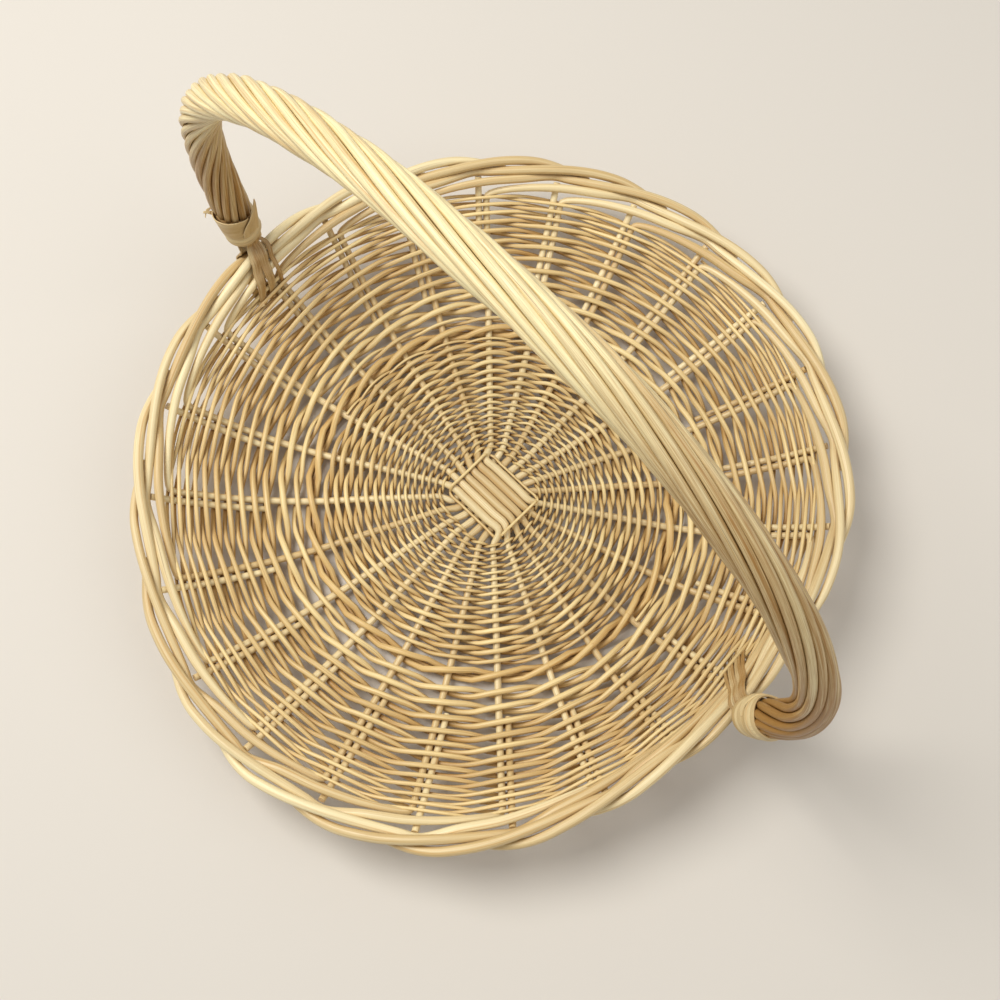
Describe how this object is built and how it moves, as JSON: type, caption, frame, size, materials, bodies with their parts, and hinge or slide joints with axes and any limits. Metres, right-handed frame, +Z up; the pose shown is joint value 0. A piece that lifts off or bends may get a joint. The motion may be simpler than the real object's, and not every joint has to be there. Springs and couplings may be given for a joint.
{
  "type": "wicker gathering basket",
  "caption": "Shallow round gathering basket woven of willow rods, with a laid border and a fixed rope-twisted hoop handle bound to the rim at both ends.",
  "frame": {"origin": "on the table under the middle of the base", "axes": "+X along the handle's span, +Y across the handle, +Z up"},
  "size_m": [0.4669, 0.4514, 0.3485],
  "materials": {
    "stake_willow": "satin peeled willow",
    "weaver_willow": "satin peeled willow",
    "wale_willow": "satin golden willow",
    "handle_willow": "satin peeled willow",
    "binding_cane": "satin split cane"
  },
  "bodies": {
    "root": {"base_weaver_1": "weaver_willow", "base_weaver_2": "weaver_willow", "binding_left": "binding_cane", "binding_right": "binding_cane", "bye_stake_01": "stake_willow", "bye_stake_02": "stake_willow", "bye_stake_03": "stake_willow", "bye_stake_04": "stake_willow", "bye_stake_05": "stake_willow", "bye_stake_06": "stake_willow", "bye_stake_07": "stake_willow", "bye_stake_08": "stake_willow", "bye_stake_09": "stake_willow", "bye_stake_10": "stake_willow", "bye_stake_11": "stake_willow", "bye_stake_12": "stake_willow", "bye_stake_13": "stake_willow", "bye_stake_14": "stake_willow", "bye_stake_15": "stake_willow", "bye_stake_16": "stake_willow", "bye_stake_17": "stake_willow", "bye_stake_18": "stake_willow", "bye_stake_19": "stake_willow", "bye_stake_20": "stake_willow", "bye_stake_21": "stake_willow", "bye_stake_22": "stake_willow", "bye_stake_23": "stake_willow", "bye_stake_24": "stake_willow", "cross_stake_01": "stake_willow", "cross_stake_02": "stake_willow", "cross_stake_03": "stake_willow", "cross_stake_04": "stake_willow", "cross_stake_05": "stake_willow", "cross_stake_06": "stake_willow", "handle_bow": "handle_willow", "handle_rod_01": "handle_willow", "handle_rod_02": "handle_willow", "handle_rod_03": "handle_willow", "handle_rod_04": "handle_willow", "handle_rod_05": "handle_willow", "handle_rod_06": "handle_willow", "handle_rod_07": "handle_willow", "handle_rod_08": "handle_willow", "handle_rod_09": "handle_willow", "handle_rod_10": "handle_willow", "handle_rod_11": "handle_willow", "handle_rod_12": "handle_willow", "long_stake_01": "stake_willow", "long_stake_02": "stake_willow", "long_stake_03": "stake_willow", "long_stake_04": "stake_willow", "long_stake_05": "stake_willow", "long_stake_06": "stake_willow", "side_weaver_1": "weaver_willow", "side_weaver_2": "weaver_willow", "wale_rod_1": "wale_willow", "wale_rod_2": "wale_willow", "wale_rod_3": "wale_willow"}
  },
  "joints": []
}
